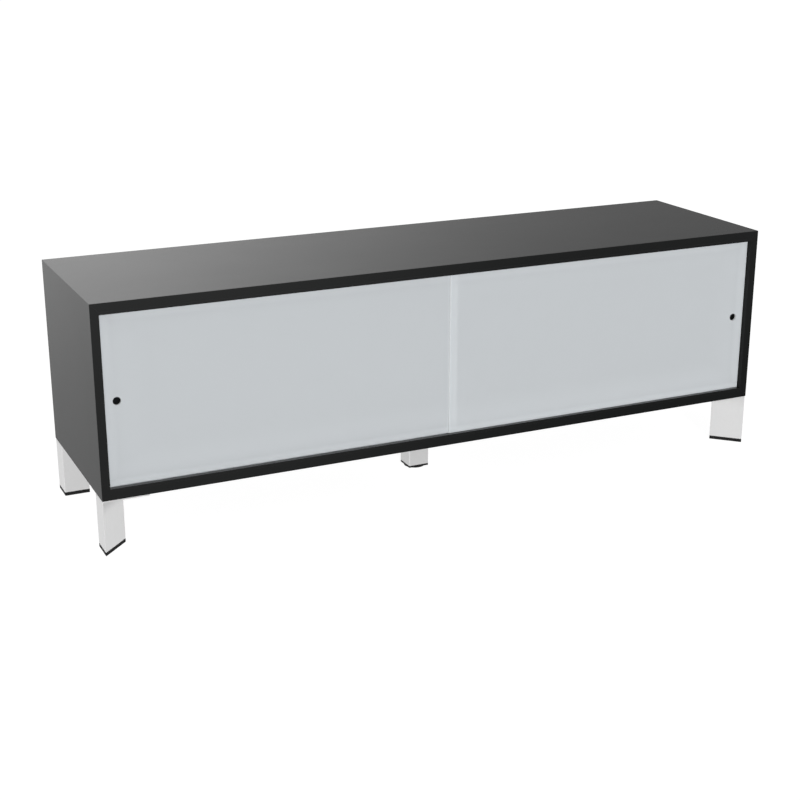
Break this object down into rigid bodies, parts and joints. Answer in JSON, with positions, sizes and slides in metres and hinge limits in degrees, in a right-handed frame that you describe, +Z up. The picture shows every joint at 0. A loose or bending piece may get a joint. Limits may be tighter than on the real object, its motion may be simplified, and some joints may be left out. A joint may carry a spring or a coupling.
{
  "type": "sliding door cabinet",
  "caption": "Low black cabinet with milky glass sliding doors in tracks and a partition inside, raised on light grey corner legs and a levelling centre leg.",
  "frame": {"origin": "on the floor, under the middle of the cabinet's width and depth", "axes": "+Z up, +X along the length to the right as seen from the doors, doors facing -Y"},
  "size_m": [1.6, 0.42, 0.533],
  "materials": {
    "carcass_black": "satin black laminate on board",
    "back_black": "satin black laminate on thin board",
    "track_black": "black anodised extrusion",
    "door_glass": "milky satin glass with polished edges",
    "leg_paint": "light grey powder coat",
    "rubber_black": "matte black rubber",
    "plastic_black": "moulded black plastic",
    "zinc_steel": "zinc plated steel",
    "zinc_alloy": "cast zinc alloy",
    "beech": "raw beech"
  },
  "bodies": {
    "carcass": {"back_panel": "back_black", "back_panel_screws": "zinc_steel", "bottom_panel": "carcass_black", "bottom_track": "track_black", "bottom_track_screws": "zinc_steel", "centre_leg": "leg_paint", "centre_leg_end_cap": "plastic_black", "centre_leg_plate": "leg_paint", "centre_leg_screws": "zinc_steel", "centre_partition": "carcass_black", "door_buffers": "rubber_black", "front_left_foot": "rubber_black", "front_left_leg": "leg_paint", "front_left_leg_plate": "leg_paint", "front_left_leg_screws": "zinc_steel", "front_right_foot": "rubber_black", "front_right_leg": "leg_paint", "front_right_leg_plate": "leg_paint", "front_right_leg_screws": "zinc_steel", "left_side_panel": "carcass_black", "mitre_dowels": "beech", "partition_cam_bolts": "zinc_steel", "partition_cams": "zinc_alloy", "partition_dowels": "beech", "rear_left_foot": "rubber_black", "rear_left_leg": "leg_paint", "rear_left_leg_plate": "leg_paint", "rear_left_leg_screws": "zinc_steel", "rear_right_foot": "rubber_black", "rear_right_leg": "leg_paint", "rear_right_leg_plate": "leg_paint", "rear_right_leg_screws": "zinc_steel", "right_side_panel": "carcass_black", "top_panel": "carcass_black", "top_track": "track_black", "top_track_screws": "zinc_steel"},
    "left_door": {"left_door_glass": "door_glass", "left_door_shoes": "plastic_black"},
    "right_door": {"right_door_glass": "door_glass", "right_door_shoes": "plastic_black"},
    "centre_glide": {"centre_glide_disc": "plastic_black", "centre_glide_stem": "zinc_steel"}
  },
  "joints": [
    {"name": "left_door_slide", "type": "slide", "parent": "carcass", "child": "left_door", "axis": [1, 0, 0], "range_m": [0, 0.772]},
    {"name": "right_door_slide", "type": "slide", "parent": "carcass", "child": "right_door", "axis": [-1, 0, 0], "range_m": [0, 0.772]},
    {"name": "centre_glide_turn", "type": "hinge", "parent": "carcass", "child": "centre_glide", "pos_m": [0, 0, 0], "axis": [0, 0, 1], "continuous": true}
  ]
}
